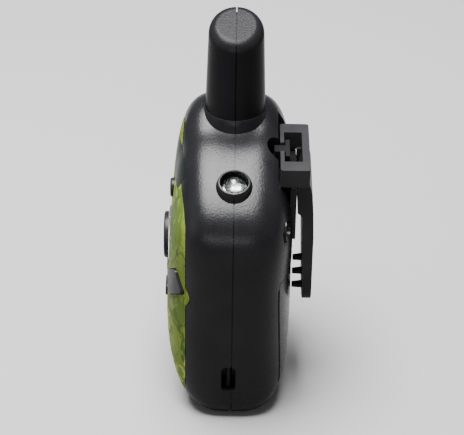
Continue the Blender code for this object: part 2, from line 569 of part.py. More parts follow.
arm = side("form_arm", [(17.9, 68.0), (20.9, 68.0), (22.0, 63.5), (22.45, 57.0), (22.75, 49.0), (22.75, 22.0),
                        (20.2, 22.0), (20.0, 31.0), (19.45, 48.0), (19.3, 56.0), (17.9, 57.2)],
           -12 * MM, 12 * MM)
arm_pts = []
for k in range(13):
    a = math.pi * k / 12
    arm_pts.append((-10.6 * MM * math.cos(a), ARM_END + 8.6 * MM - 8.6 * MM * math.sin(a)))
arm_pts += [(10.9 * MM, 57 * MM), (11.3 * MM, 69 * MM), (-11.3 * MM, 69 * MM), (-10.9 * MM, 57 * MM)]
cut(arm, flat("keep_arm", arm_pts, 0.015, 0.03, cutter=True), "INTERSECT")
cut(clip, arm, "UNION")
for i in range(3):
    z = 35.0 * MM - 4.85 * MM * i
    tooth = box(f"form_tooth_{i}", (-1.0 * MM, 17.3 * MM, z - 0.8 * MM), (1.0 * MM, 21.0 * MM, z + 0.9 * MM),
                cutter=True)
    for v in tooth.data.vertices:
        if v.co.y < 18 * MM:
            v.co.z = z - 0.2 * MM + (v.co.z - z) * 0.45
    cut(clip, tooth, "UNION")

# ---------------------------------------------------------------- case screws
for nm, (x, z), hy in SCREWS:
    s = cyl(nm, (x, -7.5 * MM, z), (x, hy + 0.4 * MM, z), 1.0 * MM, None, 10, STEEL)
    cut(s, cyl(f"form_{nm}_head", (x, hy, z), (x, hy + 0.9 * MM, z), 1.7 * MM, None, 14, cutter=True), "UNION")
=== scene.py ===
"""Fine surface of a compact handheld two-way radio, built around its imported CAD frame.

Every piece is modelled in the row frame, in metres, from the same forms as the CAD part,
only finer, and rides on the CAD body that it belongs to.
"""
import json
import math

import bmesh
import bpy
from mathutils import Matrix, Vector

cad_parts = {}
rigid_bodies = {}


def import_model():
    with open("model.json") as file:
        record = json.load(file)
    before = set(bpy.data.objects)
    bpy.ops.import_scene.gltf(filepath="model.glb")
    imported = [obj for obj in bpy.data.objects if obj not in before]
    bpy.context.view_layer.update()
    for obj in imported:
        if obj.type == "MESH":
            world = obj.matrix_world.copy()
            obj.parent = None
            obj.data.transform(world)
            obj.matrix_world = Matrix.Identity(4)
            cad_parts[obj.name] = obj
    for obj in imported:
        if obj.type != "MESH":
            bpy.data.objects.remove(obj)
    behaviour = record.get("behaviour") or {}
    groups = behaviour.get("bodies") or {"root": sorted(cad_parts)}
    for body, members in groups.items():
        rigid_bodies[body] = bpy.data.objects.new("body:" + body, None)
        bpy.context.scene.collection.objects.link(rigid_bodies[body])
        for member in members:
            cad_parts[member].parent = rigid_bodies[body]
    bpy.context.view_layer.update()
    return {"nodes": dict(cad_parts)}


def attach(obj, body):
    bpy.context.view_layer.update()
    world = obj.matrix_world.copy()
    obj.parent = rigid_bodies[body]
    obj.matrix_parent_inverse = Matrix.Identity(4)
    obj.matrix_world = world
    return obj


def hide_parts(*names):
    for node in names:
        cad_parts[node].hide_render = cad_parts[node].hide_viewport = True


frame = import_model()
MM = 0.001

# ------------------------------------------------------------------ dimensions
SEAM_Y = -1.32 * MM
FOOT_Z = -2.9 * MM
SHIFT = Vector((0, SEAM_Y, -FOOT_Z))      # from the seam datum to the row frame
WALL, GAP = 1.8 * MM, 0.3 * MM
SKIN = 0.03 * MM                          # the fine surface stays this far inside the CAD skin
CENTRE_Z = 36.0 * MM
AROUND = 168
RINGS = 22
OUTLINE = [(0, -3.5), (14, -3.5), (22.9, -3.2), (27.4, -1.0), (28.85, 3.9), (29.2, 14.5), (29.1, 28),
           (28.6, 42), (27.9, 53), (26.4, 58.4), (23.6, 62.3), (19.5, 65.6), (14, 68.9),
           (8, 71.6), (2, 73.7), (-4.3, 75.3), (-12.5, 78.9), (-20.5, 78.2), (-26.2, 74.4),
           (-28.4, 66.3), (-28.6, 54), (-28.8, 42), (-29.1, 28), (-29.2, 14.5), (-28.85, 3.9),
           (-27.4, -1.0), (-22.9, -3.2), (-14, -3.5)]
DEPTH_FRONT = (18.0, 19.2, 18.1, 17.4)
DEPTH_REAR = (17.9, 16.85, 17.0, 16.6)
N_SIDE, N_FOOT, N_TOP = 2.86, 3.35, 4.55
PLATE_Y, FRONT_WALL = -13.1 * MM, 1.4 * MM
ANT_X = -12.5 * MM
ANT_R0, ANT_R1 = 8.6 * MM, 7.75 * MM
ANT_Z0, ANT_Z1 = 79.0 * MM, 104.5 * MM
ANT_SLANT, ANT_EDGE = math.radians(20.0), 2.6 * MM
TORCH = Vector((15.0, 0, 70.0)) * MM
TORCH_DIR = Vector((math.sin(math.radians(16.6)), 0, math.cos(math.radians(16.6))))
TORCH_RIM_R, TORCH_HOLE_R, TORCH_BASE_R = 4.42 * MM, 3.9 * MM, 5.9 * MM
PTT_X, PTT_Z, PTT_R, PTT_FACE_Y, RING_R = 0.0, 42.2 * MM, 6.8 * MM, -20.1 * MM, 8.2 * MM
WING = [(20.6, 44.4), (24.2, 38.4), (15.6, 32.2), (11.6, 37.9)]
NAV_X, NAV_Z = 6.2 * MM, 28.6 * MM
WINDOW = (-13.0 * MM, 9.0 * MM, 62.9 * MM, 69.6 * MM)
MENU_Z, MENU_R = 58.4 * MM, 2.8 * MM
SPEAKER_Z = 15.0 * MM
DOOR_X, DOOR_Y, DOOR_Z = 22.4 * MM, 11.5 * MM, 41.0 * MM
CLIP_TOP, CLIP_LOW = 72.5 * MM, 67.0 * MM
CLIP_HALF, CLIP_OPEN = 12.7 * MM, 7.9 * MM
CLIP_Y0, CLIP_Y1 = 12.8 * MM, 21.1 * MM
ARM_END = 23.0 * MM
POCKET_Z = 66.6 * MM
STRAP_Z, STRAP_Y = (7.7 * MM, 16.2 * MM), (-2.9 * MM, 1.2 * MM)

WORK = bpy.data.collections.new("cutters")
bpy.context.scene.collection.children.link(WORK)
SHOW = bpy.data.collections.new("fine_surface")
bpy.context.scene.collection.children.link(SHOW)


# ------------------------------------------------------------------ modelling helpers
def from_bm(name, bm):
    bmesh.ops.recalc_face_normals(bm, faces=bm.faces)
    me = bpy.data.meshes.new(name)
    bm.to_mesh(me)
    bm.free()
    ob = bpy.data.objects.new(name, me)
    WORK.objects.link(ob)
    return ob


def box(lo, hi, bevel=0.0, name="tool"):
    bm = bmesh.new()
    bmesh.ops.create_cube(bm, size=1.0)
    lo, hi = Vector(lo), Vector(hi)
    bmesh.ops.scale(bm, vec=hi - lo, verts=bm.verts)
    bmesh.ops.translate(bm, vec=(lo + hi) / 2, verts=bm.verts)
    if bevel:
        bmesh.ops.bevel(bm, geom=bm.edges[:], offset=bevel, segments=3, profile=0.5, affect="EDGES")
    return from_bm(name, bm)


def cyl(a, b, r0, r1=None, seg=64, name="tool"):
    a, b = Vector(a), Vector(b)
    bm = bmesh.new()
    bmesh.ops.create_cone(bm, cap_ends=True, segments=seg, radius1=r0,
                          radius2=r0 if r1 is None else r1, depth=(b - a).length)
    q = Vector((0, 0, 1)).rotation_difference((b - a).normalized()).to_matrix().to_4x4()
    bmesh.ops.transform(bm, matrix=Matrix.Translation((a + b) / 2) @ q, verts=bm.verts)
    return from_bm(name, bm)


def turned(centre, axis, profile, seg=72, name="turned"):
    """Closed surface of revolution; profile is (radius, height along the axis), ends on the axis or closed."""
    ax = Vector(axis).normalized()
    u = ax.orthogonal().normalized()
    w = ax.cross(u)
    bm = bmesh.new()
    rows = []
    for r, h in profile:
        if r < 1e-9:
            rows.append([bm.verts.new(Vector(centre) + ax * h)])
        else:
            rows.append([bm.verts.new(Vector(centre) + ax * h + (u * math.cos(2 * math.pi * i / seg)
                                      + w * math.sin(2 * math.pi * i / seg)) * r) for i in range(seg)])
    pairs = list(zip(rows, rows[1:]))
    if len(rows[0]) > 1:
        pairs.append((rows[-1], rows[0]))
    for a, b in pairs:
        for i in range(seg):
            j = (i + 1) % seg
            if len(a) == 1:
                bm.faces.new((a[0], b[i], b[j]))
            elif len(b) == 1:
                bm.faces.new((a[i], a[j], b[0]))
            else:
                bm.faces.new((a[i], a[j], b[j], b[i]))
    return from_bm(name, bm)


def arc(cx, cy, r, a0, a1, n=6):
    """Points on a quarter round in profile space; angles in degrees."""
    return [(cx + r * math.cos(math.radians(a0 + (a1 - a0) * k / n)),
             cy + r * math.sin(math.radians(a0 + (a1 - a0) * k / n))) for k in range(n + 1)]


def flat(pts, y0, y1, name="tool"):
    bm = bmesh.new()
    f = bm.faces.new([bm.verts.new((x, y0, z)) for x, z in pts])
    got = bmesh.ops.extrude_face_region(bm, geom=[f])
    bmesh.ops.translate(bm, vec=(0, y1 - y0, 0),
                        verts=[g for g in got["geom"] if isinstance(g, bmesh.types.BMVert)])
    return from_bm(name, bm)


def side(pts, x0, x1, name="tool"):
    bm = bmesh.new()
    f = bm.faces.new([bm.verts.new((x0, y * MM, z * MM)) for y, z in pts])
    got = bmesh.ops.extrude_face_region(bm, geom=[f])
    bmesh.ops.translate(bm, vec=(x1 - x0, 0, 0),
                        verts=[g for g in got["geom"] if isinstance(g, bmesh.types.BMVert)])
    return from_bm(name, bm)


def rounded(pts, r, seg=8):
    out, n = [], len(pts)
    for i in range(n):
        p, a, b = (Vector(pts[i]), Vector(pts[i - 1]), Vector(pts[(i + 1) % n]))
        u, w = (a - p).normalized(), (b - p).normalized()
        half = u.angle(w) / 2
        c = p + (u + w).normalized() * r / math.sin(half)
        s, e = p + u * r / math.tan(half) - c, p + w * r / math.tan(half) - c
        sweep = s.angle_signed(e)
        for k in range(seg + 1):
            out.append(tuple(c + Matrix.Rotation(-sweep * k / seg, 2) @ s))
    return out


def cut(ob, tool, op="DIFFERENCE"):
    m = ob.modifiers.new("cut", "BOOLEAN")
    m.operation = op
    m.object = tool
    m.solver = "EXACT"


def bake(ob, angle=32.0, bevel=0.0, segments=2, half=0):
    """The object's evaluated mesh as its own mesh, with rounded edges where asked."""
    if bevel:
        m = ob.modifiers.new("edge", "BEVEL")
        m.width, m.segments, m.limit_method = bevel, segments, "ANGLE"
        m.angle_limit = math.radians(38)
        m.harden_normals = False
    dg = bpy.context.evaluated_depsgraph_get()
    dg.update()
    me = bpy.data.meshes.new_from_object(ob.evaluated_get(dg))
    ob.modifiers.clear()
    ob.data = me
    bm = bmesh.new()
    bm.from_mesh(me)
    if half:      # nothing of one case half stands past the seam plane
        bmesh.ops.delete(bm, geom=[q for q in bm.faces if q.calc_center_median().y * half > 0.05 * MM],
                         context="FACES")
    bmesh.ops.remove_doubles(bm, verts=bm.verts, dist=2e-6)
    bmesh.ops.dissolve_degenerate(bm, dist=2e-6, edges=bm.edges)
    bm.to_mesh(me)
    bm.free()
    me.shade_smooth()
    me.set_sharp_from_angle(angle=math.radians(angle))
    w = ob.modifiers.new("even_shading", "WEIGHTED_NORMAL")
    w.keep_sharp, w.weight = True, 60
    return ob


def lagrange(vals, z):
    zs, out = (0.0, 25.0, 50.0, 75.0), 0.0
    for i, zi in enumerate(zs):
        t = vals[i]
        for j, zj in enumerate(zs):
            if j != i:
                t *= (z - zj) / (zi - zj)
        out += t
    return out


def spline(pts, per=14):
    out, n = [], len(pts)
    for i in range(n):
        p0, p1, p2, p3 = (Vector(pts[(i + k) % n]) for k in (-1, 0, 1, 2))
        for k in range(per):
            t = k / per
            out.append(0.5 * ((2 * p1) + (p2 - p0) * t + (2 * p0 - 5 * p1 + 4 * p2 - p3) * t * t
                              + (3 * p1 - p0 - 3 * p2 + p3) * t ** 3))
    return out


DENSE = spline(OUTLINE)
MID = Vector((0, CENTRE_Z / MM))


def rim(direction):
    best = 0.0
    for i in range(len(DENSE)):
        a, b = DENSE[i] - MID, DENSE[(i + 1) % len(DENSE)] - MID
        ca = a.y * direction.x - a.x * direction.y
        cb = b.y * direction.x - b.x * direction.y
        if abs(ca - cb) < 1e-12:
            continue
        s = ca / (ca - cb)
        if 0 <= s <= 1:
            p = a + (b - a) * s
            if p.dot(direction) > 0:
                best = max(best, p.length)
    return best


def angles():
    run, acc = [0.0], 0.0
    for i in range(len(DENSE)):
        acc += (DENSE[(i + 1) % len(DENSE)] - DENSE[i]).length
        run.append(acc)
    out, j = [], 0
    for k in range(AROUND):
        s = acc * k / AROUND
        while run[j + 1] < s:
            j += 1
        f = (s - run[j]) / (run[j + 1] - run[j])
        out.append((DENSE[j].lerp(DENSE[(j + 1) % len(DENSE)], f) - MID).normalized())
    return out


DIRS = angles()
RIMS = [rim(d) for d in DIRS]


def case_form(inset=0.0, name="form"):
    bm = bmesh.new()
    rows = []
    inset = inset / MM
    for sd in (-1, 1):
        table = DEPTH_FRONT if sd < 0 else DEPTH_REAR
        for k in range(RINGS):
            if sd > 0 and k == 0:
                continue
            t = (math.pi / 2) * (k / RINGS) ** 1.5
            row = []
            for d, r in zip(DIRS, RIMS):
                n = N_SIDE * d.x ** 2 + (N_TOP if d.y > 0 else N_FOOT) * d.y ** 2
                rr = (r - inset) * math.cos(t) ** (2 / n)
                x, z = d.x * rr, MID.y + d.y * rr
                y = sd * (lagrange(table, z) - inset) * math.sin(t) ** (2 / n)
                row.append(bm.verts.new((x * MM, y * MM, z * MM)))
            rows.append((sd * k, row))
        rows.append((sd * RINGS, [bm.verts.new((0, sd * (lagrange(table, MID.y) - inset) * MM, CENTRE_Z))]))
    rows.sort(key=lambda e: e[0])
    rows = [r for _, r in rows]
    for a, b in zip(rows, rows[1:]):
        for i in range(AROUND):
            j = (i + 1) % AROUND
            if len(a) == 1:
                bm.faces.new((a[0], b[i], b[j]))
            elif len(b) == 1:
                bm.faces.new((a[i], a[j], b[0]))
            else:
                bm.faces.new((a[i], a[j], b[j], b[i]))
    return from_bm(name, bm)


def antenna_form(inset, z_low, seg=96, segments=8):
    slope = (ANT_R1 - ANT_R0) / (ANT_Z1 - ANT_Z0)
    z_hi = ANT_Z1 + 8 * MM
    bm = bmesh.new()
    bmesh.ops.create_cone(bm, cap_ends=True, segments=seg,
                          radius1=ANT_R0 - inset + slope * (z_low - ANT_Z0),
                          radius2=ANT_R0 - inset + slope * (z_hi - ANT_Z0), depth=z_hi - z_low)
    bmesh.ops.translate(bm, vec=(ANT_X, 0, (z_low + z_hi) / 2), verts=bm.verts)
    no = Vector((math.sin(ANT_SLANT), 0, math.cos(ANT_SLANT)))
    co = Vector((ANT_X, 0, ANT_Z1 - inset))
    got = bmesh.ops.bisect_plane(bm, geom=bm.verts[:] + bm.edges[:] + bm.faces[:], dist=1e-7,
                                 plane_co=co, plane_no=no, clear_outer=True)
    bmesh.ops.contextual_create(bm, geom=[e for e in got["geom_cut"] if isinstance(e, bmesh.types.BMEdge)])
    edge = [e for e in bm.edges if all(abs((v.co - co).dot(no)) < 1e-6 for v in e.verts)
            and len(e.link_faces) == 2]
    bmesh.ops.bevel(bm, geom=edge, offset=ANT_EDGE - inset * 0.4, segments=segments, profile=0.5,
                    affect="EDGES")
    return from_bm("form", bm)


def show(ob, body, nodes, mat, name=None):
    """The finished piece: moved from the seam datum to the row frame, on its body, in place of its nodes."""
    ob.data.transform(Matrix.Translation(SHIFT))
    ob.data.materials.clear()
    ob.data.materials.append(mat)
    if name:
        ob.name = name
    WORK.objects.unlink(ob)
    SHOW.objects.link(ob)
    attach(ob, body)
    if nodes:
        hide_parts(*nodes)
    return ob


# ------------------------------------------------------------------ materials
def lin(*c):
    return tuple((v / 255 / 12.92) if v <= 10.3 else ((v / 255 + 0.055) / 1.055) ** 2.4 for v in c)


class Look:
    """A node-built material with the Principled shader at its end."""

    def __init__(self, name):
        self.m = bpy.data.materials.new(name)
        self.m.use_nodes = True
        self.t = self.m.node_tree
        self.b = self.t.nodes["Principled BSDF"]
        self.co = self.t.nodes.new("ShaderNodeTexCoord").outputs["Object"]

    def node(self, kind, **kw):
        n = self.t.nodes.new(kind)
        for k, v in kw.items():
            if k.startswith("in_"):
                key = k[3:].replace("_", " ")
                n.inputs[key].default_value = v
            else:
                setattr(n, k, v)
        return n

    def link(self, a, b):
        self.t.links.new(a, b)

    def noise(self, scale, detail=3.0, rough=0.55, stretch=None, distort=0.0):
        """scale is in features per metre."""
        src = self.co
        if stretch:
            mp = self.node("ShaderNodeMapping")
            mp.inputs["Scale"].default_value = stretch
            self.link(src, mp.inputs["Vector"])
            src = mp.outputs["Vector"]
        n = self.node("ShaderNodeTexNoise")
        n.inputs["Scale"].default_value = scale
        n.inputs["Detail"].default_value = detail
        n.inputs["Roughness"].default_value = rough
        n.inputs["Distortion"].default_value = distort
        self.link(src, n.inputs["Vector"])
        return n.outputs["Fac"]

    def ramp(self, fac, stops, interp="LINEAR"):
        n = self.node("ShaderNodeValToRGB")
        n.color_ramp.interpolation = interp
        els = n.color_ramp.elements
        while len(els) < len(stops):
            els.new(0.5)
        for e, (p, c) in zip(els, stops):
            e.position = p
            e.color = (*c, 1) if isinstance(c, tuple) else (c, c, c, 1)
        self.link(fac, n.inputs["Fac"])
        return n.outputs["Color"]

    def remap(self, fac, lo, hi, a=0.3, b=0.7):
        n = self.node("ShaderNodeMapRange")
        n.inputs["From Min"].default_value, n.inputs["From Max"].default_value = a, b
        n.inputs["To Min"].default_value, n.inputs["To Max"].default_value = lo, hi
        self.link(fac, n.inputs["Value"])
        return n.outputs["Result"]

    def mix(self, fac, a, b):
        n = self.node("ShaderNodeMix", data_type="RGBA")
        if isinstance(fac, float):
            n.inputs["Factor"].default_value = fac
        else:
            self.link(fac, n.inputs["Factor"])
        for s, v in (("A", a), ("B", b)):
            sock = [i for i in n.inputs if i.name == s and i.type == "RGBA"][0]
            if isinstance(v, tuple):
                sock.default_value = (*v, 1)
            else:
                self.link(v, sock)
        return [o for o in n.outputs if o.type == "RGBA"][0]

    def bump(self, height, distance, strength=1.0, normal=None):
        n = self.node("ShaderNodeBump")
        n.inputs["Strength"].default_value = strength
        n.inputs["Distance"].default_value = distance
        self.link(height, n.inputs["Height"])
        if normal:
            self.link(normal, n.inputs["Normal"])
        return n.outputs["Normal"]

    def set(self, **kw):
        for k, v in kw.items():
            s = self.b.inputs[k.replace("_", " ")]
            if isinstance(v, (int, float)):
                s.default_value = v
            elif isinstance(v, tuple):
                s.default_value = (*v, 1)
            else:
                self.link(v, s)
        return self


def plastic(name, dark, light, rough=(0.42, 0.52), spec=0.25, grain=3200.0, depth=0.012, wear=0.5, sleeve=None):
    """Moulded plastic: fine spark-eroded grain, faint handling wear, slightly uneven gloss.
    sleeve is (height, roughness factor, specular) of a smoother zone above that height."""
    k = Look(name)
    tone = k.noise(90.0, 4.0)
    rub = k.noise(420.0, 5.0, 0.7)
    base = k.mix(k.remap(tone, 0.0, 1.0), dark, light)
    gloss = k.remap(rub, rough[0], rough[1])
    if sleeve:
        xyz = k.node("ShaderNodeSeparateXYZ")
        k.link(k.co, xyz.inputs["Vector"])
        zone = k.remap(xyz.outputs["Z"], 0.0, 1.0, sleeve[0], sleeve[0] + 0.2 * MM)
        mul = k.node("ShaderNodeMath", operation="MULTIPLY")
        k.link(gloss, mul.inputs[0])
        k.link(k.remap(zone, 1.0, sleeve[1], 0.0, 1.0), mul.inputs[1])
        gloss = mul.outputs["Value"]
        spec = k.remap(zone, spec, sleeve[2], 0.0, 1.0)
    k.set(Base_Color=base, Roughness=gloss, Specular_IOR_Level=spec)
    fine = k.noise(grain, 2.0, 0.6)
    k.set(Normal=k.bump(fine, depth * MM, 1.0, k.bump(rub, depth * wear * MM, 1.0)))
    return k.m


BLACK = plastic("black_abs", (0.003, 0.003, 0.0034), (0.0048, 0.0048, 0.0053), (0.255, 0.315), 0.094, 1900.0, 0.055,
                sleeve=(81.2 * MM, 1.1, 0.034))
CLIP = plastic("clip_plastic", (0.008, 0.008, 0.0085), (0.012, 0.012, 0.0125), (0.40, 0.48), 0.06, 2400.0, 0.016)
KEY = plastic("key_plastic", (0.004, 0.004, 0.0045), (0.006, 0.006, 0.0065), (0.34, 0.42), 0.08, 3000.0, 0.008)


def camo():
    """Woodland leaf print on a satin plate: overlapping leaf-shaped patches over a mottled green."""
    k = Look("woodland_print")
    warp = k.node("ShaderNodeTexNoise")
    warp.inputs["Scale"].default_value = 120.0
    warp.inputs["Detail"].default_value = 3.0
    k.link(k.co, warp.inputs["Vector"])
    add = k.node("ShaderNodeVectorMath", operation="MULTIPLY_ADD")
    add.inputs[1].default_value = (0.006, 0.006, 0.006)
    k.link(warp.outputs["Color"], add.inputs[0])
    k.link(k.co, add.inputs[2])
    mp = k.node("ShaderNodeMapping")
    mp.inputs["Rotation"].default_value = (0.5, 0.3, 0.6)
    mp.inputs["Scale"].default_value = (1.0, 1.6, 0.55)
    k.link(add.outputs["Vector"], mp.inputs["Vector"])

    def cells(scale, feature="F1"):
        v = k.node("ShaderNodeTexVoronoi", feature=feature)
        v.inputs["Scale"].default_value = scale
        k.link(mp.outputs["Vector"], v.inputs["Vector"])
        return v

    big, leaf = cells(95.0), cells(190.0)
    greens = k.ramp(big.outputs["Color"], [(0.0, lin(52, 66, 19)), (0.3, lin(67, 78, 25)),
                                           (0.48, lin(70, 69, 22)), (0.62, lin(78, 90, 30)),
                                           (0.8, lin(48, 64, 15))], "CONSTANT")
    patch = k.ramp(leaf.outputs["Color"], [(0.0, lin(42, 57, 14)), (0.35, lin(72, 83, 28)),
                                           (0.55, lin(58, 72, 20)), (0.78, lin(102, 113, 50))], "CONSTANT")
    mask = k.ramp(k.noise(260.0, 3.0, 0.6, None, 0.6), [(0.0, 0.0), (0.5, 0.0), (0.53, 1.0), (1.0, 1.0)])
    col = k.mix(mask, greens, patch)
    vein = k.node("ShaderNodeTexVoronoi", feature="DISTANCE_TO_EDGE")
    vein.inputs["Scale"].default_value = 105.0
    k.link(mp.outputs["Vector"], vein.inputs["Vector"])
    line = k.ramp(vein.outputs["Distance"], [(0.0, 0.85), (0.03, 0.0), (1.0, 0.0)])
    col = k.mix(line, col, lin(36, 48, 12))
    rub = k.noise(500.0, 4.0, 0.6)
    k.set(Base_Color=col, Roughness=k.remap(rub, 0.42, 0.52), Specular_IOR_Level=0.03,
          Normal=k.bump(k.noise(2600.0, 2.0), 0.006 * MM, 1.0, k.bump(line, -0.03 * MM, 0.6)))
    return k.m


CAMO = camo()


def metal(name, rgb, rough, brushed=(1, 1, 1), scale=900.0):
    k = Look(name)
    n = k.noise(scale, 4.0, 0.6, brushed)
    k.set(Base_Color=k.mix(k.remap(n, 0.0, 1.0), tuple(c * 0.9 for c in rgb), rgb), Metallic=1.0,
          Roughness=k.remap(n, rough * 0.8, rough * 1.25), Normal=k.bump(n, 0.002 * MM, 0.6))
    return k.m


CHROME = metal("chrome_trim", (0.92, 0.92, 0.93), 0.10)
STEEL = metal("steel", (0.56, 0.56, 0.57), 0.30, (1, 1, 8))
SCREW = metal("black_screw", (0.035, 0.035, 0.038), 0.42)
COPPER = metal("copper_wire", (0.78, 0.40, 0.22), 0.28)


def clear(name, rough=0.03, tint=(0.97, 0.98, 0.98)):
    k = Look(name)
    n = k.noise(600.0, 3.0)
    k.set(Base_Color=tint, Transmission_Weight=1.0, IOR=1.46, Roughness=k.remap(n, rough, rough * 2.2),
          Normal=k.bump(n, 0.001 * MM, 0.4))
    return k.m


LENS = clear("clear_lens", 0.10, (0.5, 0.52, 0.52))
WINDOW_LOOK = plastic("display_lens", (0.003, 0.004, 0.0035), (0.005, 0.006, 0.0055), (0.22, 0.30), 0.015, 900.0, 0.002)
BOARD = plastic("board", (0.012, 0.10, 0.035), (0.02, 0.15, 0.055), (0.35, 0.5), 0.5, 1500.0, 0.01)
SILICONE = plastic("silicone", (0.07, 0.07, 0.075), (0.10, 0.10, 0.105), (0.65, 0.8), 0.3, 1800.0, 0.02)
WRAP = plastic("cell_wrap", (0.03, 0.07, 0.17), (0.045, 0.10, 0.22), (0.28, 0.38), 0.5, 1200.0, 0.006)
LAMP = plastic("lamp_resin", (0.03, 0.03, 0.028), (0.05, 0.05, 0.045), (0.2, 0.3), 0.5, 1400.0, 0.004)

# ------------------------------------------------------------------ shared forms
shape_neck = turned((ANT_X, 0, 0), (0, 0, 1),
                    [(0, 66 * MM), (ANT_R0 + 2.1 * MM, 66 * MM), (ANT_R0 + 1.9 * MM, 72 * MM), (ANT_R0 + 1.35 * MM, 74.6 * MM),
                     (ANT_R0 + 0.8 * MM, 76.8 * MM), (ANT_R0 + 0.42 * MM, 78.1 * MM), (ANT_R0 + 0.2 * MM, 78.32 * MM),
                     (ANT_R0 - 0.2 * MM, 78.38 * MM), (0, 78.38 * MM)], 96)
hollow = case_form(WALL)
hollow_ant = antenna_form(WALL, 64 * MM, 48, 3)
half_front = box((-0.05, -0.16 * MM, -0.02), (0.05, 0.05, 0.13))
half_rear = box((-0.05, -0.05, -0.02), (0.05, 0.16 * MM, 0.13))
EDGE = [(-13.1, -20), (-13.1, 34.4), (-12.5, 35.6), (-11.9, 37.0), (-11.95, 38.3), (-12.6, 39.6), (-13.1, 40.8),
        (-13.1, 59.0), (-13.7, 62.6), (-14.6, 65.2), (-14.9, 68.0), (-14.5, 72.0), (-13.9, 78.0), (-13.9, 130)]
face_trim = side([(-60, -20)] + EDGE + [(-60, 130)], -0.06, 0.06)
plate_trim = side([(60, -20)] + [(y - 0.2, z) for y, z in EDGE] + [(60, 130)], -0.06, 0.06)
rough_front = box((-0.06, 3.1 * MM, -0.03), (0.06, 0.06, 0.14))
rough_rear = box((-0.06, -0.06, -0.03), (0.06, -6.1 * MM, 0.14))
foot = box((-0.06, -0.06, -0.03), (0.06, 0.06, FOOT_Z + 0.005 * MM))
stub = antenna_form(SKIN, ANT_Z0 - 0.6 * MM)
collar = turned(TORCH, TORCH_DIR, [(0, -6.4 * MM), (TORCH_BASE_R + 0.5 * MM, -6.4 * MM), (TORCH_BASE_R - 0.1 * MM, -4.2 * MM),
                                   (TORCH_RIM_R + 0.55 * MM, -1.2 * MM), (TORCH_RIM_R + 0.2 * MM, -0.3 * MM),
                                   (TORCH_RIM_R + 0.02 * MM, -0.06 * MM), (TORCH_RIM_R - 0.14 * MM, -0.01 * MM), (0, -0.01 * MM)], 96)
torch_bore = turned(TORCH, TORCH_DIR, [(0, -9 * MM), (TORCH_HOLE_R, -9 * MM), (TORCH_HOLE_R, -0.25 * MM),
                                       (TORCH_HOLE_R + 0.18 * MM, 0.02 * MM), (TORCH_HOLE_R + 0.2 * MM, 4 * MM), (0, 4 * MM)], 72)
strap_out = box((23.2 * MM, STRAP_Y[0] - 1.2 * MM, STRAP_Z[0] - 1.2 * MM),
                (28.2 * MM, STRAP_Y[1] + 1.2 * MM, STRAP_Z[1] + 1.2 * MM))
bm = bmesh.new()
f = bm.faces.new([bm.verts.new((24.6 * MM, y, z)) for y, z in rounded(
    [(STRAP_Y[0], STRAP_Z[0]), (STRAP_Y[0], STRAP_Z[1]), (STRAP_Y[1], STRAP_Z[1]), (STRAP_Y[1], STRAP_Z[0])], 1.3 * MM, 8)])
got = bmesh.ops.extrude_face_region(bm, geom=[f])
bmesh.ops.translate(bm, vec=(9 * MM, 0, 0), verts=[g for g in got["geom"] if isinstance(g, bmesh.types.BMVert)])
strap_in = from_bm("tool", bm)
ptt_stem_hole = cyl((PTT_X, -0.03, PTT_Z), (PTT_X, -0.009, PTT_Z), 3.0 * MM)
ptt_hole = cyl((PTT_X, -0.03, PTT_Z), (PTT_X, -0.005, PTT_Z), PTT_R + GAP * 0.7, None, 96)
ring_seat = cyl((PTT_X, -0.03, PTT_Z), (PTT_X, -17.0 * MM, PTT_Z), RING_R + 0.25 * MM, None, 96)


def wing_points(sign, grow=0.0):
    pts = [(sign * x * MM, z * MM) for x, z in WING]
    if sign < 0:
        pts.reverse()
    c = sum((Vector(p) for p in pts), Vector((0, 0))) / 4
    pts = [tuple(Vector(p) + (Vector(p) - c).normalized() * grow) for p in pts]
    return rounded(pts, 1.3 * MM, 8)


def nav_points(x, grow=0.0):
    hw, hh = 3.6 * MM + grow, 1.9 * MM + grow
    return rounded([(x - hw, NAV_Z - hh), (x - hw, NAV_Z + hh), (x + hw, NAV_Z + hh), (x + hw, NAV_Z - hh)],
                   1.7 * MM, 8)


def window_points(grow=0.0):
    x0, x1, z0, z1 = WINDOW[0] - grow, WINDOW[1] + grow, WINDOW[2] - grow, WINDOW[3] + grow
    return rounded([(x0, z0), (x0, z1), (x1, z1), (x1, z0)], 2.2 * MM, 8)


wing_hole_r = flat(wing_points(1, GAP * 1.3), -0.03, -0.009)
wing_hole_l = flat(wing_points(-1, GAP * 1.3), -0.03, -0.009)
nav_hole_r = flat(nav_points(NAV_X, GAP * 0.8), -0.03, -0.009)
nav_hole_l = flat(nav_points(-NAV_X, GAP * 0.8), -0.03, -0.009)
menu_hole = cyl((0, -0.03, MENU_Z), (0, -0.009, MENU_Z), MENU_R + GAP * 0.8)
window_hole = flat(window_points(GAP * 0.5), -0.03, -0.0128)
lcd_hole = box((-10.4 * MM, -0.03, 61.6 * MM), (6.4 * MM, -0.009, 67.6 * MM))
slots = [flat(rounded([(-hw * MM, SPEAKER_Z + dz * MM), (-hw * MM, SPEAKER_Z + (dz + 1.3) * MM),
                       (hw * MM, SPEAKER_Z + (dz + 1.3) * MM), (hw * MM, SPEAKER_Z + dz * MM)], 0.6 * MM, 5), -0.03, -0.009)
         for dz, hw in ((-7.0, 5.0), (-4.0, 7.6), (-1.0, 8.4), (2.0, 7.6), (5.0, 5.0))]
mic_hole = cyl((12.5 * MM, -0.03, 26.2 * MM), (12.5 * MM, -0.009, 26.2 * MM), 0.8 * MM, None, 24)
SCREWS = [(-17.2 * MM, 56.1 * MM, 11.6 * MM), (17.2 * MM, 56.1 * MM, 11.6 * MM),
          (-16.0 * MM, 17.4 * MM, 1.7 * MM), (16.0 * MM, 17.4 * MM, 1.7 * MM)]

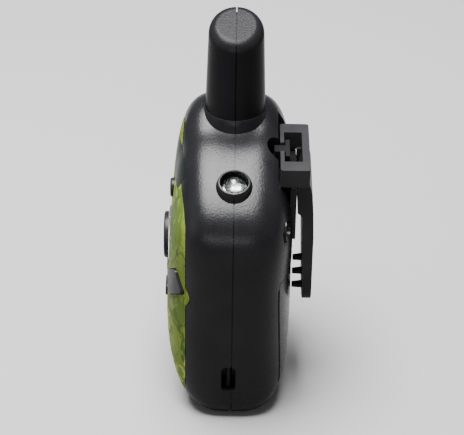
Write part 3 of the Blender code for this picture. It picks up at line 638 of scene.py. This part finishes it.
# ------------------------------------------------------------------ front case
front = case_form(SKIN, "front_shell")
cut(front, shape_neck, "UNION")
cut(front, stub, "UNION")
cut(front, collar, "UNION")
cut(front, face_trim)
hollow_front = case_form(WALL)
cut(hollow_front, box((-0.05, -0.05, -0.02), (0.05, PLATE_Y + FRONT_WALL, 0.13)))
cut(front, hollow_front)
cut(front, rough_front)
cut(front, hollow_ant)
cut(front, strap_out, "UNION")
cut(front, strap_in)
cut(front, torch_bore)
for x, z, hy in SCREWS:
    cut(front, cyl((x, PLATE_Y + 0.6 * MM, z), (x, -0.8 * MM, z), 2.6 * MM, None, 24), "UNION")
    cut(front, cyl((x, -10.0 * MM, z), (x, 2 * MM, z), 1.3 * MM, None, 16))
cut(front, half_front)
cut(front, foot)
for tool in (ptt_stem_hole, wing_hole_r, wing_hole_l, nav_hole_r, nav_hole_l, menu_hole, lcd_hole, *slots, mic_hole):
    cut(front, tool)
show(bake(front, half=1), "radio", ["front_case"], BLACK)

# ------------------------------------------------------------------ rear case
rear = case_form(SKIN, "rear_shell")
cut(rear, shape_neck, "UNION")
cut(rear, stub, "UNION")
cut(rear, collar, "UNION")
cut(rear, hollow)
cut(rear, rough_rear)
cut(rear, hollow_ant)
pocket = box((-14.4 * MM, 10.9 * MM, POCKET_Z - 1.2 * MM), (14.4 * MM, 17.6 * MM, 71.5 * MM))
cut(pocket, case_form(), "INTERSECT")
cut(rear, pocket, "UNION")
cut(rear, box((-13.1 * MM, 12.3 * MM, POCKET_Z), (13.1 * MM, 0.03, 0.09)))
cut(rear, cyl((0.3 * MM, 13.3 * MM, 68.4 * MM), (0.3 * MM, 13.3 * MM, 0.085), 4.2 * MM, None, 48))
cut(rear, box((-1.7 * MM, 11.2 * MM, 65.6 * MM), (1.7 * MM, 14.6 * MM, 71.9 * MM)), "UNION")
cut(rear, box((-4.4 * MM, 14.3 * MM, 65.6 * MM), (4.4 * MM, 15.5 * MM, 72.1 * MM)), "UNION")
cut(rear, flat(rounded([(-10.6 * MM, 47.6 * MM), (-10.6 * MM, 66.2 * MM), (10.6 * MM, 66.2 * MM),
                        (10.6 * MM, 47.6 * MM)], 1.5 * MM, 6), 15.8 * MM, 17.55 * MM), "UNION")
bay_x, bay_lo, bay_hi = 23.25 * MM, 6.5 * MM, 39.1 * MM
cut(rear, box((-bay_x - 1.3 * MM, 0.3 * MM, bay_lo - 1.3 * MM), (bay_x + 1.3 * MM, 8.4 * MM, bay_hi + 1.3 * MM)), "UNION")
cut(rear, box((-bay_x, 1.4 * MM, bay_lo), (bay_x, 0.03, bay_hi)))
cut(rear, box((-DOOR_X - GAP * 0.8, DOOR_Y - GAP * 0.8, -0.01), (DOOR_X + GAP * 0.8, 0.04, DOOR_Z + GAP * 0.8)))
cut(rear, box((23.2 * MM, -1.0 * MM, STRAP_Z[0] - 1.2 * MM), (28.2 * MM, STRAP_Y[1] + 1.2 * MM, STRAP_Z[1] + 1.2 * MM)),
    "UNION")
cut(rear, strap_in)
cut(rear, torch_bore)
for x, z, hy in SCREWS[:2]:
    cut(rear, cyl((x, 0.6 * MM, z), (x, 14.7 * MM, z), 2.85 * MM, None, 28), "UNION")
    cut(rear, cyl((x, hy - 0.3 * MM, z), (x, 0.03, z), 2.3 * MM, None, 28))
for x, z, hy in SCREWS:
    cut(rear, cyl((x, -1 * MM, z), (x, hy + 1 * MM, z), 1.3 * MM, None, 16))
cut(rear, half_rear)
cut(rear, foot)
cut(rear, box((20.0 * MM, 13.55 * MM, 53.1 * MM), (21.5 * MM, 18 * MM, 57.35 * MM), 0.3 * MM))
show(bake(rear, half=-1), "radio", ["rear_case"], BLACK)

# ------------------------------------------------------------------ tongue that closes the seam from inside
tongue = case_form(1.0 * MM, "seam_tongue")
cut(tongue, antenna_form(1.0 * MM, 70 * MM, 64, 3), "UNION")
cut(tongue, turned(TORCH, TORCH_DIR, [(0, -6.4 * MM), (5.7 * MM, -6.4 * MM), (5.1 * MM, -4.2 * MM), (4.6 * MM, -1.2 * MM),
                                       (4.3 * MM, -0.5 * MM), (0, -0.5 * MM)], 64), "UNION")
cut(tongue, case_form(1.7 * MM))
cut(tongue, antenna_form(1.7 * MM, 64 * MM, 48, 3))
cut(tongue, box((-0.06, -0.06, -0.03), (0.06, -1.1 * MM, 0.14)))
cut(tongue, box((-0.06, 1.1 * MM, -0.03), (0.06, 0.06, 0.14)))
cut(tongue, foot)
cut(tongue, strap_in)
cut(tongue, turned(TORCH, TORCH_DIR, [(0, -12 * MM), (4.0 * MM, -12 * MM), (4.0 * MM, 9 * MM), (0, 9 * MM)], 64))
show(bake(tongue), "radio", [], BLACK)

# ------------------------------------------------------------------ faceplate, ring, window
plate = case_form(SKIN * 0.5, "leaf_print_plate")
cut(plate, plate_trim)
cut(plate, case_form(1.5 * MM))
for tool in (ring_seat, wing_hole_r, wing_hole_l, nav_hole_r, nav_hole_l, menu_hole, window_hole, *slots, mic_hole):
    cut(plate, tool)
cut(plate, cyl((PTT_X, -17.1 * MM, PTT_Z), (PTT_X, -16.0 * MM, PTT_Z), RING_R + 1.2 * MM, None, 72), "UNION")
cut(plate, ptt_hole)
show(bake(plate), "radio", ["camo_faceplate"], CAMO)

FRONT = (0, -1, 0)
ring = turned((PTT_X, 0, PTT_Z), FRONT,
              [(PTT_R + GAP, 17.1 * MM), (RING_R + 0.1 * MM, 17.1 * MM), (RING_R + 0.9 * MM, 17.5 * MM)]
              + [(RING_R + r * MM, 18.05 * MM + h * MM) for r, h in arc(0, 0, 0.55, 0, 90, 6)]
              + [(PTT_R + GAP + 0.25 * MM, 18.6 * MM), (PTT_R + GAP, 18.3 * MM)], 128, "trim_ring")
show(bake(ring), "radio", ["chrome_ring"], CHROME)

window = case_form(0.0, "display_glass")
cut(window, flat(window_points(0.0), -0.03, -13.5 * MM), "INTERSECT")
show(bake(window), "radio", ["display_window"], WINDOW_LOOK)

# ------------------------------------------------------------------ keys
DISH = [(0, 19.86), (2.0, 19.88), (4.0, 19.95), (5.6, 20.03), (6.1, 20.04), (6.42, 19.96), (6.66, 19.76), (6.77, 19.48),
        (6.77, 17.60), (6.62, 17.45), (6.77, 17.30), (6.77, 15.4), (2.4, 15.4), (2.4, 11.45), (0, 11.45)]
ptt = turned((PTT_X, 0, PTT_Z), FRONT, [(r * MM, h * MM) for r, h in DISH], 112, "talk_button")
show(bake(ptt, 40), "ptt", ["ptt_key"], KEY)
menu = turned((0, 0, MENU_Z), FRONT, [(r * MM, h * MM) for r, h in
              [(0, 18.28), (1.2, 18.26), (2.2, 18.22), (2.55, 18.1), (2.74, 17.85), (2.77, 17.5), (2.77, 11.45), (0, 11.45)]],
              56, "menu_button")
show(bake(menu, 40), "menu", ["menu_key"], KEY)
for nm, body, node, sign in (("right_wing", "right_wing", "right_wing_key", 1), ("left_wing", "left_wing", "left_wing_key", -1)):
    key = case_form(-0.58 * MM, nm + "_button")
    cut(key, flat(wing_points(sign), -0.03, -11.45 * MM), "INTERSECT")
    show(bake(key, 32, 0.22 * MM, 3), body, [node], KEY)
for nm, body, node, x in (("up", "up", "up_key", NAV_X), ("down", "down", "down_key", -NAV_X)):
    key = flat(nav_points(x), -19.44 * MM, -11.45 * MM, nm + "_button")
    show(bake(key, 32, 0.35 * MM, 3), body, [node], KEY)

# ------------------------------------------------------------------ torch lens and strap pin
dome = [(2.78 * math.cos(math.radians(a)), -1.9 + 2.78 * math.sin(math.radians(a))) for a in range(2, 88, 6)]
lens = turned(TORCH, TORCH_DIR, [(r * MM, h * MM) for r, h in
              [(0, -2.75), (2.2, -2.75), (2.2, -3.35), (3.5, -3.35), (3.5, -1.95), (3.3, -1.9)] + dome + [(0, 0.88)]],
              80, "torch_dome")
show(bake(lens, 40), "radio", ["torch_lens"], LENS)
pin = turned((26.3 * MM, -0.85 * MM, 0), (0, 0, 1), [(0, STRAP_Z[0] + 0.22 * MM), (0.72 * MM, STRAP_Z[0] + 0.22 * MM),
             (0.72 * MM, STRAP_Z[1] - 0.22 * MM), (0, STRAP_Z[1] - 0.22 * MM)], 32, "strap_bar")
show(bake(pin), "radio", ["strap_pin"], CLIP)

# ------------------------------------------------------------------ battery door
door = case_form(SKIN, "door_shell")
cut(door, box((-DOOR_X, DOOR_Y, -0.01), (DOOR_X, 0.04, DOOR_Z)), "INTERSECT")
cut(door, case_form(1.25 * MM))
cut(door, foot)
show(bake(door), "door", ["battery_door"], BLACK)

# ------------------------------------------------------------------ belt clip
block_pts = rounded([(-12.67 * MM, 12.83 * MM), (-12.67 * MM, 21.07 * MM), (12.67 * MM, 21.07 * MM), (12.67 * MM, 12.83 * MM)],
                    0.9 * MM, 6)
bm = bmesh.new()
f = bm.faces.new([bm.verts.new((x, y, CLIP_LOW)) for x, y in block_pts])
got = bmesh.ops.extrude_face_region(bm, geom=[f])
bmesh.ops.translate(bm, vec=(0, 0, CLIP_TOP - CLIP_LOW - 0.02 * MM),
                    verts=[g for g in got["geom"] if isinstance(g, bmesh.types.BMVert)])
clip = from_bm("clip_shell", bm)
cut(clip, box((-CLIP_OPEN, CLIP_Y0 + 1.15 * MM, 0.06), (CLIP_OPEN, CLIP_Y1 - 2.1 * MM, 0.08)))
cut(clip, box((-2.3 * MM, 0.01, 0.06), (2.3 * MM, CLIP_Y1 - 2.1 * MM, 0.08)))
arm = side([(17.93, 62.0), (19.02, 66.6), (19.02, 68.0), (20.87, 68.0), (21.97, 63.5), (22.42, 57.0), (22.72, 49.0), (22.72, 22.0),
            (20.23, 22.0), (20.03, 31.0), (19.48, 48.0), (19.33, 56.0), (17.93, 57.2)], -12 * MM, 12 * MM)
arm_pts = []
for i in range(41):
    a = math.pi * i / 40
    arm_pts.append((-10.57 * MM * math.cos(a), ARM_END + 8.6 * MM - 8.57 * MM * math.sin(a)))
arm_pts += [(10.87 * MM, 57 * MM), (11.27 * MM, 69 * MM), (-11.27 * MM, 69 * MM), (-10.87 * MM, 57 * MM)]
cut(arm, flat(arm_pts, 0.015, 0.03), "INTERSECT")
cut(clip, arm, "UNION")
for sg in (-1, 1):
    cut(clip, box((sg * 9.0 * MM - 2.0 * MM, 17.76 * MM, 61.5 * MM), (sg * 9.0 * MM + 2.0 * MM, 19.6 * MM, 67.6 * MM)), "UNION")
for i in range(3):
    z = 35.0 * MM - 4.85 * MM * i
    tooth = box((-0.98 * MM, 17.33 * MM, z - 0.8 * MM), (0.98 * MM, 21.0 * MM, z + 0.9 * MM))
    for v in tooth.data.vertices:
        if v.co.y < 18 * MM:
            v.co.z = z - 0.2 * MM + (v.co.z - z) * 0.45
    cut(clip, tooth, "UNION")
show(bake(clip, 32, 0.22 * MM, 3), "clip", ["belt_clip"], CLIP)

# ------------------------------------------------------------------ nodes kept from the CAD
KEEP = {"keypad_membrane": SILICONE, "circuit_board": BOARD, "rf_shield": STEEL, "speaker": STEEL,
        "microphone": STEEL, "antenna_coil": COPPER, "torch_lamp": LAMP, "torch_carrier": KEY,
        "display_module": STEEL}
for n in (1, 2, 3):
    KEEP[f"cell_{n}"] = WRAP
    KEEP[f"contact_plate_{n}"] = STEEL
    KEEP[f"contact_spring_{n}"] = STEEL
for n in ("upper_left", "upper_right", "lower_left", "lower_right"):
    KEEP[f"case_screw_{n}"] = SCREW
for name, mat in KEEP.items():
    ob = frame["nodes"][name]
    ob.data.materials.clear()
    ob.data.materials.append(mat)

for o in list(WORK.objects):
    bpy.data.objects.remove(o, do_unlink=True)
bpy.data.collections.remove(WORK)

# ------------------------------------------------------------------ floor, light and camera
bm = bmesh.new()
bmesh.ops.create_grid(bm, x_segments=1, y_segments=1, size=1.0)
me = bpy.data.meshes.new("floor")
bmesh.ops.scale(bm, vec=(9, 9, 1), verts=bm.verts)
bm.to_mesh(me)
bm.free()
floor = bpy.data.objects.new("floor", me)
bpy.context.scene.collection.objects.link(floor)
k = Look("floor_paper")
k.set(Base_Color=k.mix(k.remap(k.noise(3.0), 0.0, 1.0), (0.155, 0.155, 0.155), (0.165, 0.165, 0.165)), Roughness=0.95,
      Specular_IOR_Level=0.0)
me.materials.append(k.m)

scene = bpy.context.scene
world = bpy.data.worlds.new("studio")
scene.world = world
world.use_nodes = True
world.node_tree.nodes["Background"].inputs["Color"].default_value = (1, 1, 1, 1)
world.node_tree.nodes["Background"].inputs["Strength"].default_value = 0.30


def lamp(name, at, aim, power, size, size_y=None):
    data = bpy.data.lights.new(name, "AREA")
    data.energy, data.size = power, size
    data.shape = "RECTANGLE"
    data.size_y = size_y or size
    ob = bpy.data.objects.new(name, data)
    at, aim = Vector(at), Vector(aim)
    ob.matrix_world = Matrix.Translation(at) @ (aim - at).to_track_quat("-Z", "Y").to_matrix().to_4x4()
    scene.collection.objects.link(ob)
    return ob


lamp("overhead", (-0.035, -0.10, 0.75), (-0.035, -0.10, 0.0), 60.0, 0.52, 0.44)
lamp("low_strip", (0.95, -0.18, 0.34), (0, 0, 0.06), 4.0, 0.7, 0.09)
lamp("left_fill", (0.25, -0.85, 0.35), (0, 0, 0.06), 1.5, 0.5, 0.5)

e, roll = math.radians(33.556), math.radians(0.864)
aim = Vector((0, -0.484 * MM, 48.303 * MM)) + SHIFT
F = Vector((-math.cos(e), 0, -math.sin(e)))
U = Vector((-math.sin(e), 0, math.cos(e)))
R = Vector((0, 1, 0))
turn = Matrix((R, U, -F)).transposed() @ Matrix.Rotation(roll, 3, "Z")
cam = bpy.data.cameras.new("camera")
cam.sensor_width, cam.lens, cam.clip_start = 36.0, 147.41, 0.01
camera = bpy.data.objects.new("camera", cam)
camera.matrix_world = Matrix.Translation(aim - F * 0.548) @ turn.to_4x4()
scene.collection.objects.link(camera)
scene.camera = camera
